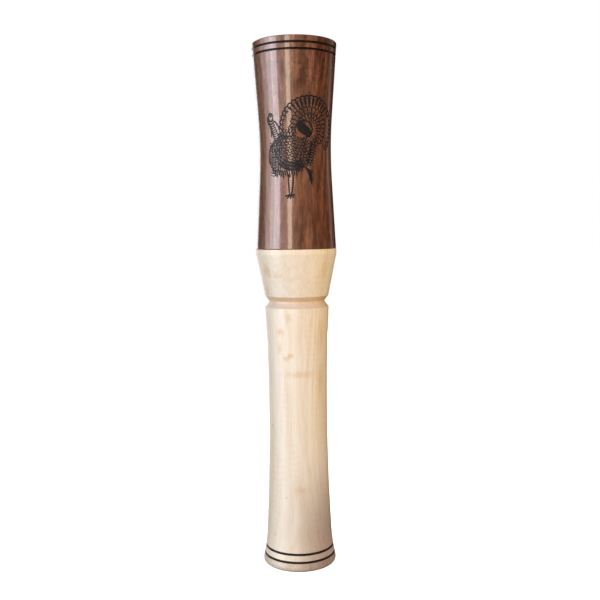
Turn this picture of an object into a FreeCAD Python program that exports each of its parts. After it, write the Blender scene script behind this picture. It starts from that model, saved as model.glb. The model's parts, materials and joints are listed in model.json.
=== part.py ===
"""A two-piece turned wooden reed call.

A hardwood barrel, with the mouth hole at its top, pushes down over the tenon of a long pale insert that
stands on its own flared foot. Two rubber rings on the tenon hold the barrel by friction. A tone board
drops into the top of the insert, held by two rings of its own. A thin plastic reed lies on the board's
face, and a cork wedge in the board's collar clamps the reed's tail.

Frame: +Z up along the turned axis, origin at the middle of the foot, reed towards -Y. Millimetres.
"""

import FreeCAD
import Part
import math
import os
import re
import Sketcher

SHEET = "sizes"
OUT = "parts"

# Each driving size: its name, its value and what it measures.
SIZES = [
    # outside of the insert
    ("insert_length", 129.6, "foot to joint"),
    ("foot_radius", 15.0, "outside of the foot"),
    ("foot_land", 1.8, "straight land round the foot"),
    ("foot_round", 1.3, "rounding of the foot's edge"),
    ("bell_round", 0.5, "rounding of the exhaust bell's edge"),
    ("flare_height", 13.4, "where the foot's flare begins"),
    ("waist_radius", 11.95, "thinnest part of the insert"),
    ("waist_height", 63.4, "foot to the thinnest part"),
    ("waist_curve", 900.0, "radius of the insert's long curve"),
    ("neck_radius", 12.9, "cone's lower end, above the lanyard groove"),
    ("lanyard_drop", 21.1, "joint down to the middle of the lanyard groove"),
    ("lanyard_width", 4.6, "width of the lanyard groove at its mouth"),
    ("lanyard_floor", 0.6, "width of the lanyard groove's floor"),
    ("lanyard_depth", 1.55, "depth of the lanyard groove"),
    ("shoulder_proud", 0.1, "how far the shoulder stands out past the barrel"),
    ("shoulder_land", 2.0, "straight land at the top of the shoulder"),
    # outside of the barrel
    ("barrel_length", 81.2, "joint to mouth"),
    ("joint_radius", 16.2, "barrel at the joint"),
    ("barrel_waist_radius", 14.45, "thinnest part of the barrel"),
    ("waist_share", 0.474, "height of that thinnest part, as a share of the barrel"),
    ("curve_share", 2.475, "radius of the waist's long curve, as a share of the barrel"),
    ("mouth_radius", 17.0, "outside of the mouth"),
    ("mouth_round", 0.5, "rounding of the mouth's outer edge"),
    ("lip_round", 2.4, "rounding of the mouth hole's edge"),
    ("edge_break", 0.35, "small bevel on the barrel's lower edges"),
    # bores
    ("chamber_radius", 9.525, "three-quarter inch bore of the barrel"),
    ("mouth_bore_radius", 7.9375, "five-eighths inch mouth hole"),
    ("mouth_bore_length", 17.0, "length of the mouth hole"),
    ("exhaust_radius", 5.556, "seven-sixteenths inch bore of the insert"),
    ("bell_radius", 10.0, "mouth of the exhaust bell"),
    ("bell_height", 14.0, "height of the exhaust bell"),
    ("socket_radius", 6.35, "half-inch socket that holds the tone board"),
    ("socket_spare", 0.5, "space left under the tone board"),
    # tenon and its rings
    ("tenon_length", 18.0, "joint to the top of the tenon"),
    ("tenon_gap", 0.2, "tenon to barrel bore, on the radius"),
    ("tenon_bevel", 0.5, "lead-in at the top of the tenon"),
    ("tenon_ring_height", 5.0, "joint to the first ring"),
    ("ring_pitch", 8.0, "first ring to second ring"),
    ("ring_section", 1.78, "thickness of every ring"),
    ("ring_gap", 0.02, "squeezed ring to its bore and to its groove's floor"),
    ("ring_side_gap", 0.2, "ring to each side of its groove"),
    # tone board
    ("board_gap", 0.08, "tone board to its socket, on the radius"),
    ("board_base_length", 17.5, "part of the board that sits in the socket"),
    ("board_bevel", 0.5, "lead-in at the board's lower end"),
    ("board_ring_depth", 4.5, "flange down to the board's first ring"),
    ("flange_overlap", 1.05, "how far the flange reaches past the socket"),
    ("flange_thickness", 1.2, "thickness of the flange"),
    ("collar_length", 7.8, "height of the collar above the flange"),
    ("pocket_floor", 2.3, "flange seat up to the floor of the reed pocket"),
    ("pocket_wall", 1.05, "wall of the collar round the pocket"),
    ("board_length", 43.0, "flange seat up to the board's tip"),
    ("tip_rise", 3.0, "height of the tip's rounding"),
    ("face_offset", 0.5, "reed face in front of the axis"),
    ("face_flat", 15.0, "flange seat up to where the face starts to curve away"),
    ("face_drop", 1.4, "how far the face has curved away at the tip"),
    ("tone_bore_radius", 3.1, "bore through the board's base"),
    ("tone_bore_top", 1.5, "top of that bore, above the flange seat"),
    ("channel_width", 4.8, "width of the tone channel"),
    ("channel_depth", 3.0, "floor of the tone channel behind the axis"),
    ("channel_level", 22.0, "flange seat up to where the channel's floor starts to rise"),
    ("channel_stop", 4.0, "end of the channel down from the tip"),
    # reed and wedge
    ("reed_thickness", 0.36, "thickness of the reed"),
    ("reed_side_gap", 0.35, "reed to each side of its pocket"),
    ("reed_setback", 0.4, "end of the reed down from the board's tip"),
    ("reed_clip", 1.8, "clipped corners of the reed"),
    ("fit_gap", 0.03, "gap round the reed and the wedge"),
    ("wedge_length", 12.5, "length of the wedge"),
    ("wedge_bevel", 1.4, "bevel on the wedge's nose"),
    # burned lines
    ("burn_width", 0.8, "width of a burned line"),
    ("burn_depth", 0.35, "depth of a burned line"),
    ("foot_burn_height", 4.0, "foot up to the first burned line"),
    ("foot_burn_pitch", 3.1, "first to second burned line on the foot"),
    ("mouth_burn_drop", 2.6, "mouth down to the first burned line"),
    ("mouth_burn_pitch", 2.5, "first to second burned line on the barrel"),
]

# Formulas that more than one piece uses.
SEAT = "insert_length + tenon_length"
BOARD_RADIUS = "(socket_radius - board_gap)"
POCKET_RADIUS = f"({BOARD_RADIUS} - pocket_wall)"
FLANGE_RADIUS = "(socket_radius + flange_overlap)"
COLLAR_TOP = "(flange_thickness + collar_length)"
TENON_RADIUS = "(chamber_radius - tenon_gap)"
REED_BACK = "(face_offset + fit_gap)"
REED_FRONT = "(face_offset + fit_gap + reed_thickness)"
REED_WIDTH = f"(2 * sqrt({POCKET_RADIUS} ^ 2 - {REED_FRONT} ^ 2) - 2 * reed_side_gap)"
REED_END = "(board_length - reed_setback)"
TENON_RING_FLOOR = "(chamber_radius - 2 * ring_gap - ring_section)"
BOARD_RING_FLOOR = "(socket_radius - 2 * ring_gap - ring_section)"
RING_GROOVE = "(ring_section + 2 * ring_side_gap)"

BARREL_WAIST_HEIGHT = "(barrel_length * waist_share)"
BARREL_WAIST_CURVE = "(barrel_length * curve_share)"

NEAR = 1e-4
SKIM = 0.1  # how far in front of an open face a cut starts
CLEAR_OF = 1.0  # how far a cutting outline runs past the piece that it cuts


def bound(formula):
    """The formula with each size's name led by the sheet's name; only sizes hold an underscore."""
    return re.sub(r"[a-z]+(?:_[a-z]+)+", lambda name: f"{SHEET}.{name.group()}", formula)


def number(doc, formula):
    """The formula's value now, in millimetres."""
    return float(doc.getObject(SHEET).evalExpression(bound(formula)))


def make_sheet(doc):
    """The spreadsheet: a size's value in column A, under its name, and its meaning in column B."""
    sheet = doc.addObject("Spreadsheet::Sheet", SHEET)
    for row, (name, value, meaning) in enumerate(SIZES, 1):
        sheet.set(f"A{row}", str(value))
        sheet.setAlias(f"A{row}", name)
        sheet.set(f"B{row}", meaning)
    doc.recompute()


class Outline:
    """A sketch on one of a body's own planes, whose corners are bound to the sheet."""

    def __init__(self, body, name, plane, offset=None):
        self.doc = body.Document
        self.sketch = body.newObject("Sketcher::SketchObject", name)
        support = next(o for o in body.Origin.OriginFeatures if o.Role == plane)
        self.sketch.AttachmentSupport = [(support, "")]
        self.sketch.MapMode = "FlatFace"
        if offset:
            self.sketch.setExpression("AttachmentOffset.Base.z", bound(offset))
        self.doc.recompute()

    def start(self, corner):
        """Where a corner starts: a formula's value, or the plain number of a corner left to the solver."""
        x, y = (c if isinstance(c, float) else number(self.doc, c) for c in corner)
        return FreeCAD.Vector(x, y, 0)

    def bind(self, kind, formula, *where):
        """A dimension that follows a formula on the sheet."""
        value = number(self.doc, formula)
        index = self.sketch.addConstraint(Sketcher.Constraint(kind, *where, value))
        self.sketch.setExpression(f"Constraints[{index}]", bound(formula))

    def tie(self, kind, *where):
        """A constraint that has no size."""
        self.sketch.addConstraint(Sketcher.Constraint(kind, *where))

    def place(self, side, end, corner):
        """Binds one end of a side to its corner's two formulas. A zero puts it on the axis."""
        for formula, kind, axis in zip(corner, ("DistanceX", "DistanceY"), (-2, -1)):
            if formula == "0":
                self.tie("PointOnObject", side, end, axis)
            elif not isinstance(formula, float):
                self.bind(kind, formula, -1, 1, side, end)

    def close(self, corners, centres=None, tangents=()):
        """A closed chain of sides through the corners. A side whose number is in centres is an arc round
        that point, and its neighbour meets it smoothly at each corner whose number is in tangents.
        Returns each side as (its number in the sketch, its first end, its last end)."""
        centres = centres or {}
        points = [self.start(c) for c in corners]
        sides = []
        for n, first in enumerate(points):
            last = points[(n + 1) % len(points)]
            if n not in centres:
                sides.append((self.sketch.addGeometry(Part.LineSegment(first, last), False), 1, 2))
                continue
            centre = centres[n]
            turn = [math.atan2(p.y - centre.y, p.x - centre.x) for p in (first, last)]
            forward = (turn[1] - turn[0]) % (2 * math.pi) < math.pi
            span = turn if forward else turn[::-1]
            circle = Part.Circle(centre, FreeCAD.Vector(0, 0, 1), (first - centre).Length)
            side = self.sketch.addGeometry(Part.ArcOfCircle(circle, *span), False)
            sides.append((side, 1, 2) if forward else (side, 2, 1))
        for n, (side, first_end, _) in enumerate(sides):
            before, _, last_end = sides[n - 1]
            self.tie("Tangent" if n in tangents else "Coincident", before, last_end, side, first_end)
        for n, corner in enumerate(corners):
            self.place(sides[n][0], sides[n][1], corner)
        return sides

    def finish(self):
        """Solves the sketch, and stops if anything in it is left loose."""
        self.doc.recompute()
        if self.sketch.solve() != 0 or not self.sketch.FullyConstrained:
            raise ValueError(f"{self.sketch.Name} is not fully constrained")
        return self.sketch


def new_body(doc, name, height=None):
    """An empty body, standing at a height along the axis."""
    body = doc.addObject("PartDesign::Body", name)
    body.Label = name
    if height:
        body.setExpression("Placement.Base.z", bound(height))
    return body


def changed(body, feature, before):
    """Stops if a feature added or removed nothing."""
    body.Document.recompute()
    if abs(feature.Shape.Volume - before) < NEAR:
        raise ValueError(f"{feature.Name} changed nothing")
    return feature


def turn(body, sketch, name, kind="PartDesign::Revolution"):
    """A full turn of a sketch about its upright axis: a solid, or with Groove a cut."""
    before = body.Tip.Shape.Volume if kind.endswith("Groove") else 0.0
    feature = body.newObject(kind, name)
    feature.Profile = sketch
    feature.ReferenceAxis = (sketch, ["V_Axis"])
    feature.Angle = 360
    return changed(body, feature, before)


def groove(body, sketch, name):
    """A full turn of a sketch, cut away."""
    return turn(body, sketch, name, "PartDesign::Groove")


def pad(body, sketch, name, length):
    """A sketch raised by a length along its normal."""
    feature = body.newObject("PartDesign::Pad", name)
    feature.Profile = sketch
    feature.setExpression("Length", bound(length))
    return changed(body, feature, 0.0)


def pocket(body, sketch, name, length, both_ways=False):
    """A sketch cut away, against its normal or evenly both ways."""
    before = body.Tip.Shape.Volume
    feature = body.newObject("PartDesign::Pocket", name)
    feature.Profile = sketch
    feature.SideType = "Symmetric" if both_ways else "One side"
    feature.setExpression("Length", bound(length))
    return changed(body, feature, before)


def ease(body, kind, name, size, radius, height):
    """Rounds (Fillet) or bevels (Chamfer) the round edges of that radius at that height."""
    doc = body.Document
    at_radius, at_height = number(doc, radius), number(doc, height)
    found = [
        f"Edge{n}"
        for n, edge in enumerate(body.Tip.Shape.Edges, 1)
        if isinstance(edge.Curve, Part.Circle)
        and abs(edge.Curve.Radius - at_radius) < NEAR
        and abs(edge.Curve.Center.z - at_height) < NEAR
    ]
    if not found:
        raise ValueError(f"{name} found no edge")
    base = body.Tip
    feature = body.newObject(f"PartDesign::{kind}", name)
    feature.Base = (base, found)
    feature.setExpression("Radius" if kind == "Fillet" else "Size", bound(size))
    return changed(body, feature, base.Shape.Volume)


def ring_grooves(body, name, floor, outside, heights):
    """Square grooves for rings, from their floor out past the surface."""
    outline = Outline(body, f"{name}_outline", "XZ_Plane")
    out = f"{outside} + {CLEAR_OF}"
    for height in heights:
        low, high = f"{height} - {RING_GROOVE} / 2", f"{height} + {RING_GROOVE} / 2"
        outline.close([(floor, low), (out, low), (out, high), (floor, high)])
    groove(body, outline.finish(), name)


def burned_lines(body, name, outside, side, heights):
    """V-shaped lines burned into the surface that one side of the outside sketch turns."""
    outline = Outline(body, f"{name}_outline", "XZ_Plane")
    sketch = outline.sketch
    sketch.addExternal(outside.Name, f"Edge{side + 1}")
    curve = outside.Geometry[side]
    for height in heights:
        level = number(body.Document, height)
        middle = FreeCAD.Vector(radius_at(curve, level), level, 0)
        on_surface = sketch.addGeometry(Part.Point(middle), True)
        outline.tie("PointOnObject", on_surface, 1, -3)
        outline.bind("DistanceY", height, -1, 1, on_surface, 1)
        deep = number(body.Document, "burn_depth")
        wide = number(body.Document, "burn_width")
        corners = [(middle.x - deep, middle.y), (middle.x + deep, middle.y - wide)]
        corners.append((middle.x + deep, middle.y + wide))
        sides = outline.close(corners)
        moves = [("-burn_depth", None), ("burn_depth", "-burn_width"), ("burn_depth", "burn_width")]
        for (line, end, _), (across, along) in zip(sides, moves):
            outline.bind("DistanceX", across, on_surface, 1, line, end)
            if along:
                outline.bind("DistanceY", along, on_surface, 1, line, end)
            else:
                outline.tie("Horizontal", on_surface, 1, line, end)
    groove(body, outline.finish(), name)


def radius_at(curve, level):
    """How far from the axis an outline's line or arc is at a level."""
    reach = 1000.0
    across = Part.makeLine(FreeCAD.Vector(0, level, 0), FreeCAD.Vector(reach, level, 0))
    _, nearest, _ = curve.toShape().distToShape(across)
    return nearest[0][0].x


def arc_to_upright(doc, end, level, upright):
    """The centre of the arc that leaves an upright line at a level and ends at a corner."""
    x, y = (number(doc, c) for c in end)
    line, height = number(doc, upright), number(doc, level)
    across, along = x - line, y - height
    return FreeCAD.Vector(line + (across**2 + along**2) / (2 * across), height, 0)


def on_arc(doc, centre, radius, level):
    """The corner where an arc, curved towards the axis, crosses a level. The solver moves it across."""
    rise = number(doc, level) - centre.y
    return centre.x - math.sqrt(radius**2 - rise**2), level


def arc_beside(corner, centre, end):
    """The centre of the arc that leaves another arc smoothly at a corner and runs to an end."""
    towards = (centre - corner).normalize()
    chord = end - corner
    return corner + towards * (chord.dot(chord) / (2 * towards.dot(chord)))


def make_barrel(doc):
    """The barrel: a tapering tube with a waist, a wide chamber and a narrower mouth hole."""
    body = new_body(doc, "barrel", "insert_length")
    outline = Outline(body, "barrel_outline", "XZ_Plane")
    joint, mouth = ("joint_radius", "0"), ("mouth_radius", "barrel_length")
    curve = number(doc, BARREL_WAIST_CURVE)
    centre = FreeCAD.Vector(number(doc, "barrel_waist_radius") + curve, number(doc, BARREL_WAIST_HEIGHT), 0)
    touch = [tangent_point(outline.start(c), centre, curve, way) for c, way in ((joint, -1), (mouth, 1))]
    step = "barrel_length - mouth_bore_length"
    corners = [
        ("chamber_radius", "0"),
        joint,
        (touch[0].x, touch[0].y),
        (touch[1].x, touch[1].y),
        mouth,
        ("mouth_bore_radius", "barrel_length"),
        ("mouth_bore_radius", step),
        ("chamber_radius", f"{step} - (chamber_radius - mouth_bore_radius)"),
    ]
    sides = outline.close(corners, centres={2: centre}, tangents=(2, 3))
    arc = sides[2][0]
    outline.bind("Radius", BARREL_WAIST_CURVE, arc)
    outline.bind("DistanceX", f"barrel_waist_radius + {BARREL_WAIST_CURVE}", -1, 1, arc, 3)
    outline.bind("DistanceY", BARREL_WAIST_HEIGHT, -1, 1, arc, 3)
    outside = outline.finish()
    turn(body, outside, "turned_barrel")
    upper = "barrel_length - mouth_burn_drop"
    heights = [upper, f"{upper} - mouth_burn_pitch"]
    burned_lines(body, "mouth_burns", outside, sides[3][0], heights)
    ease(body, "Fillet", "mouth_edge", "mouth_round", "mouth_radius", "barrel_length")
    ease(body, "Fillet", "mouth_lip", "lip_round", "mouth_bore_radius", "barrel_length")
    ease(body, "Chamfer", "joint_edge", "edge_break", "joint_radius", "0")
    ease(body, "Chamfer", "chamber_edge", "edge_break", "chamber_radius", "0")
    return body


def tangent_point(corner, centre, radius, way):
    """Where the line from a corner touches a circle that lies outside it. The corner is below the circle's
    middle if way is -1, and above it if way is 1."""
    apart = corner - centre
    angle = math.atan2(apart.y, apart.x) + way * math.acos(radius / apart.Length)
    return centre + FreeCAD.Vector(math.cos(angle), math.sin(angle), 0) * radius


def make_insert(doc):
    """The insert: foot, waist, lanyard groove, coned shoulder and tenon, bored right through."""
    body = new_body(doc, "insert")
    outline = Outline(body, "insert_outline", "XZ_Plane")
    groove_level = "insert_length - lanyard_drop"
    foot, bell = ("foot_radius", "foot_land"), ("bell_radius", "0")
    curve, middle = number(doc, "waist_curve"), number(doc, "waist_height")
    waist = FreeCAD.Vector(number(doc, "waist_radius") + curve, middle, 0)
    flare_top = on_arc(doc, waist, curve, "flare_height")
    neck = on_arc(doc, waist, curve, f"{groove_level} - lanyard_width / 2")
    floor = "neck_radius - lanyard_depth"
    shoulder = "joint_radius + shoulder_proud"
    socket_floor = f"{SEAT} - board_base_length - socket_spare"
    corners = [
        bell,
        ("foot_radius", "0"),
        foot,
        flare_top,
        neck,
        (floor, f"{groove_level} - lanyard_floor / 2"),
        (floor, f"{groove_level} + lanyard_floor / 2"),
        ("neck_radius", f"{groove_level} + lanyard_width / 2"),
        (shoulder, "insert_length - shoulder_land"),
        (shoulder, "insert_length"),
        (TENON_RADIUS, "insert_length"),
        (TENON_RADIUS, SEAT),
        ("socket_radius", SEAT),
        ("socket_radius", socket_floor),
        ("exhaust_radius", socket_floor),
        ("exhaust_radius", "bell_height"),
    ]
    flare, long_curve, horn = 2, 3, 15
    centres = {
        flare: arc_beside(outline.start(flare_top), waist, outline.start(foot)),
        long_curve: waist,
        horn: arc_to_upright(doc, bell, "bell_height", "exhaust_radius"),
    }
    sides = outline.close(corners, centres=centres, tangents=(long_curve,))
    outline.bind("Radius", "waist_curve", sides[long_curve][0])
    outline.bind("DistanceX", "waist_radius + waist_curve", -1, 1, sides[long_curve][0], 3)
    outline.bind("DistanceY", "waist_height", -1, 1, sides[long_curve][0], 3)
    outline.bind("DistanceY", "bell_height", -1, 1, sides[horn][0], 3)
    outside = outline.finish()
    turn(body, outside, "turned_insert")
    first = "insert_length + tenon_ring_height"
    ring_grooves(body, "tenon_grooves", TENON_RING_FLOOR, TENON_RADIUS, [first, f"{first} + ring_pitch"])
    heights = ["foot_burn_height", "foot_burn_height + foot_burn_pitch"]
    burned_lines(body, "foot_burns", outside, sides[flare][0], heights)
    ease(body, "Fillet", "foot_edge", "foot_round", "foot_radius", "0")
    ease(body, "Fillet", "bell_edge", "bell_round", "bell_radius", "0")
    ease(body, "Chamfer", "tenon_edge", "tenon_bevel", TENON_RADIUS, SEAT)
    return body


def make_tone_board(doc):
    """The tone board: a bored base for the socket, a flange, a collar with the reed pocket, and the board."""
    body = new_body(doc, "tone_board", SEAT)
    base = "-board_base_length"
    outline = Outline(body, "board_outline", "XZ_Plane")
    outline.close(
        [
            ("tone_bore_radius", base),
            (BOARD_RADIUS, base),
            (BOARD_RADIUS, "0"),
            (FLANGE_RADIUS, "0"),
            (FLANGE_RADIUS, "flange_thickness"),
            (BOARD_RADIUS, "flange_thickness"),
            (BOARD_RADIUS, "board_length"),
            ("0", "board_length"),
            ("0", "tone_bore_top"),
            ("tone_bore_radius", "tone_bore_top"),
        ]
    )
    turn(body, outline.finish(), "turned_board")
    first = "-board_ring_depth"
    ring_grooves(body, "board_grooves", BOARD_RING_FLOOR, BOARD_RADIUS, [first, f"{first} - ring_pitch"])
    ease(body, "Chamfer", "board_edge", "board_bevel", BOARD_RADIUS, base)
    cut_face(body)
    cut_reed_pocket(body)
    cut_channel(body)
    round_tip(body)
    return body


def cut_face(body):
    """The reed's face: flat above the collar, then curving away from the reed up to the tip."""
    outline = Outline(body, "face_outline", "YZ_Plane")
    in_front = f"-{BOARD_RADIUS} - {CLEAR_OF}"
    past_tip = f"board_length + {CLEAR_OF}"
    end = ("face_drop - face_offset", "board_length")
    corners = [
        ("-face_offset", COLLAR_TOP),
        ("-face_offset", "face_flat"),
        end,
        ("face_drop - face_offset", past_tip),
        (in_front, past_tip),
        (in_front, COLLAR_TOP),
    ]
    centre = arc_to_upright(body.Document, end, "face_flat", "-face_offset")
    sides = outline.close(corners, centres={1: centre})
    outline.bind("DistanceY", "face_flat", -1, 1, sides[1][0], 3)
    pocket(body, outline.finish(), "reed_face", f"2 * ({BOARD_RADIUS} + {CLEAR_OF})", both_ways=True)


def half_round(outline, radius, flat):
    """The part of a disc that lies in front of a flat."""
    doc = outline.doc
    wide = math.sqrt(number(doc, radius) ** 2 - number(doc, flat) ** 2)
    middle = FreeCAD.Vector(0, 0, 0)
    sides = outline.close([(wide, f"-{flat}"), (-wide, f"-{flat}")], centres={1: middle})
    arc = sides[1][0]
    outline.tie("Coincident", arc, 3, -1, 1)
    outline.bind("Radius", radius, arc)


def cut_reed_pocket(body):
    """The pocket down the front of the collar, where the reed's tail and the wedge sit."""
    outline = Outline(body, "pocket_outline", "XY_Plane", COLLAR_TOP)
    half_round(outline, POCKET_RADIUS, "face_offset")
    pocket(body, outline.finish(), "reed_pocket", f"{COLLAR_TOP} - pocket_floor")


def cut_channel(body):
    """The tone channel: open to the reed, closed at the tip, and running down into the bore."""
    outline = Outline(body, "channel_outline", "YZ_Plane")
    front = f"-face_offset - {SKIM}"
    foot = "tone_bore_top - flange_thickness"
    top = "board_length - channel_stop"
    outline.close(
        [
            (front, foot),
            ("channel_depth", foot),
            ("channel_depth", "channel_level"),
            ("face_drop - face_offset - reed_thickness / 2", top),
            (front, top),
        ]
    )
    pocket(body, outline.finish(), "tone_channel", "channel_width", both_ways=True)


def round_tip(body):
    """The board's tip, rounded as seen from the front."""
    outline = Outline(body, "tip_outline", "XZ_Plane")
    start = "board_length - tip_rise"
    outside = f"({BOARD_RADIUS} + {CLEAR_OF})"
    past_tip = f"board_length + {CLEAR_OF}"
    doc = body.Document
    half, rise = number(doc, BOARD_RADIUS), number(doc, "tip_rise")
    radius = f"({BOARD_RADIUS} ^ 2 + tip_rise ^ 2) / (2 * tip_rise)"
    centre = FreeCAD.Vector(0, number(doc, "board_length") - (half**2 + rise**2) / (2 * rise), 0)
    corners = [
        (f"-{outside}", start),
        (f"-{BOARD_RADIUS}", start),
        (BOARD_RADIUS, start),
        (outside, start),
        (outside, past_tip),
        (f"-{outside}", past_tip),
    ]
    sides = outline.close(corners, centres={1: centre})
    outline.bind("Radius", radius, sides[1][0])
    pocket(body, outline.finish(), "rounded_tip", f"2 * ({BOARD_RADIUS} + {CLEAR_OF})", both_ways=True)


def make_reed(doc):
    """The reed: a thin flat strip with clipped corners, its tail down in the pocket."""
    body = new_body(doc, "reed", SEAT)
    outline = Outline(body, "reed_outline", "XZ_Plane", REED_BACK)
    tail = "pocket_floor + fit_gap"
    half = f"{REED_WIDTH} / 2"
    corners = [
        (f"-{half}", tail),
        (half, tail),
        (half, f"{REED_END} - reed_clip"),
        (f"{half} - reed_clip", REED_END),
        (f"-({half} - reed_clip)", REED_END),
        (f"-{half}", f"{REED_END} - reed_clip"),
    ]
    outline.close(corners)
    pad(body, outline.finish(), "reed_strip", "reed_thickness")
    return body


def make_wedge(doc):
    """The wedge: a half-round plug with a bevelled nose that clamps the reed's tail in the pocket."""
    body = new_body(doc, "wedge", SEAT)
    radius = f"({POCKET_RADIUS} - fit_gap)"
    outline = Outline(body, "wedge_outline", "XY_Plane", "pocket_floor + fit_gap")
    half_round(outline, radius, f"({REED_FRONT} + fit_gap)")
    pad(body, outline.finish(), "wedge_plug", "wedge_length")
    nose = "pocket_floor + fit_gap + wedge_length"
    ease(body, "Chamfer", "wedge_nose", "wedge_bevel", radius, nose)
    return body


def make_ring(doc, name, bore, height):
    """A rubber ring, squeezed into its bore, at a height along the axis."""
    ring = doc.addObject("Part::Torus", name)
    ring.Label = name
    ring.setExpression("Radius1", bound(f"{bore} - ring_gap - ring_section / 2"))
    ring.setExpression("Radius2", bound("ring_section / 2"))
    ring.setExpression("Placement.Base.z", bound(height))
    return ring


def make_rings(doc):
    """The two rings on the tenon and the two on the tone board."""
    tenon = "insert_length + tenon_ring_height"
    board = f"{SEAT} - board_ring_depth"
    places = {
        "tenon_ring_lower": ("chamber_radius", tenon),
        "tenon_ring_upper": ("chamber_radius", f"{tenon} + ring_pitch"),
        "board_ring_upper": ("socket_radius", board),
        "board_ring_lower": ("socket_radius", f"{board} - ring_pitch"),
    }
    return [make_ring(doc, name, bore, height) for name, (bore, height) in places.items()]


def check(doc, pieces):
    """Stops if any object failed to build, or if any piece has no valid solid."""
    failed = [o.Name for o in doc.Objects if {"Invalid", "Error"} & set(o.State)]
    for piece in pieces:
        if piece.Shape.isNull() or not piece.Shape.isValid() or not piece.Shape.Solids:
            failed.append(piece.Label)
    if failed:
        raise ValueError(f"these did not build: {failed}")


def main():
    """Builds every piece and writes its STEP file."""
    doc = FreeCAD.newDocument("reed_call")
    make_sheet(doc)
    pieces = [make_insert(doc), make_barrel(doc), make_tone_board(doc), make_reed(doc), make_wedge(doc)]
    pieces += make_rings(doc)
    doc.recompute()
    check(doc, pieces)
    os.makedirs(OUT, exist_ok=True)
    for piece in pieces:
        piece.Shape.exportStep(os.path.join(OUT, f"{piece.Label}.step"))
        print(f"{piece.Label}: {piece.Shape.Volume:.1f} mm3")


main()
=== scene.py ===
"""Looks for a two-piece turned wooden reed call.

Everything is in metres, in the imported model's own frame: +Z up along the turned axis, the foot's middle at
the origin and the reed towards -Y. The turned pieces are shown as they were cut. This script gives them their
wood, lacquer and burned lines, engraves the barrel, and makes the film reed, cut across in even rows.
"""

import json
import logging
import math
from dataclasses import dataclass, field
from enum import Enum

import bpy
from mathutils import Matrix, Vector

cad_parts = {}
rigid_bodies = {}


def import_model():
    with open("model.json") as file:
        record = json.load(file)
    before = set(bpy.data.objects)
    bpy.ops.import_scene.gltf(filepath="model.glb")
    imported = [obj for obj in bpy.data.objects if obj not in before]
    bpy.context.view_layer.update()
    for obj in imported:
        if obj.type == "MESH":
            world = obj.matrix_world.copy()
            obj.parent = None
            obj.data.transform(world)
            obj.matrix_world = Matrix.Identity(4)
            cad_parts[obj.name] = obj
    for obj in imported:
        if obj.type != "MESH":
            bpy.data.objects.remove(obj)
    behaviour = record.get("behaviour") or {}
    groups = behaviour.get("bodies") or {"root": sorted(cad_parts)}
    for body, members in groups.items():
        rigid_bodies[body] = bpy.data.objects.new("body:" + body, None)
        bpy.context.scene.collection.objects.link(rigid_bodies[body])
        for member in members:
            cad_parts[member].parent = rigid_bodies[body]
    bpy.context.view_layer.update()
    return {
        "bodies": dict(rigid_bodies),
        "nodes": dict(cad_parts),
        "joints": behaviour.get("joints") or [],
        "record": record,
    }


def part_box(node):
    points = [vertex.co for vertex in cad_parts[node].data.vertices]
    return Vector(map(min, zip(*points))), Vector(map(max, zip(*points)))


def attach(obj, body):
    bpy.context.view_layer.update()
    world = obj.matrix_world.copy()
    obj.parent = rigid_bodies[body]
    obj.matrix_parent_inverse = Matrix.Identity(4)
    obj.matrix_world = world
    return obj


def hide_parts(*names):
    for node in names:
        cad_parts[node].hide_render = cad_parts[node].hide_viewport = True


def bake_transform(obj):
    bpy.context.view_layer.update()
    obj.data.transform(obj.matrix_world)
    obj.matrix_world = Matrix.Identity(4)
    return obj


MM = 0.001
NEAR = 1e-6
OUTSIDE = 0.05
LOG = logging.getLogger("reed_call")

Colour = tuple[float, float, float]
Point = tuple[float, float]


# --- shader helpers ---


class Signal:
    """A node's output that can stand in a Python expression."""

    def __init__(self, graph: "Graph", socket: bpy.types.NodeSocket) -> None:
        """Keeps the socket and the graph that it belongs to."""
        self.graph = graph
        self.socket = socket

    def _math(self, operation: str, *values: "float | Signal") -> "Signal":
        """A Math node on these values.

        Args:
            operation: the node's operation.
            values: its inputs, in order.

        Returns:
            The node's value.
        """
        names = ("Value", "Value_001", "Value_002")
        return self.graph.value("ShaderNodeMath", {"operation": operation}, dict(zip(names, values)))

    def __add__(self, other: "float | Signal") -> "Signal":
        """Self plus other."""
        return self._math("ADD", self, other)

    def __radd__(self, other: float) -> "Signal":
        """Other plus self."""
        return self._math("ADD", other, self)

    def __sub__(self, other: "float | Signal") -> "Signal":
        """Self minus other."""
        return self._math("SUBTRACT", self, other)

    def __rsub__(self, other: float) -> "Signal":
        """Other minus self."""
        return self._math("SUBTRACT", other, self)

    def __mul__(self, other: "float | Signal") -> "Signal":
        """Self times other."""
        return self._math("MULTIPLY", self, other)

    def __rmul__(self, other: float) -> "Signal":
        """Other times self."""
        return self._math("MULTIPLY", other, self)

    def __abs__(self) -> "Signal":
        """Self without its sign."""
        return self._math("ABSOLUTE", self)

    def sine(self) -> "Signal":
        """The sine of an angle in radians."""
        return self._math("SINE", self)

    def length_with(self, other: "Signal") -> "Signal":
        """The length of the vector whose two parts are self and other."""
        squares = self * self + other * other
        return self._math("SQRT", squares)

    def larger(self, other: "float | Signal") -> "Signal":
        """The larger of the two."""
        return self._math("MAXIMUM", self, other)

    def step(self, low: float, high: float) -> "Signal":
        """A smooth rise from 0 at low to 1 at high. With low above high it is a smooth fall.

        Args:
            low: where the step is 0.
            high: where the step is 1.

        Returns:
            The step.
        """
        ends = (low, high, 0.0, 1.0) if low < high else (high, low, 1.0, 0.0)
        names = ("From Min", "From Max", "To Min", "To Max")
        sockets = {"Value": self, **dict(zip(names, ends))}
        return self.graph.value("ShaderNodeMapRange", {"interpolation_type": "SMOOTHSTEP"}, sockets)


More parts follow.
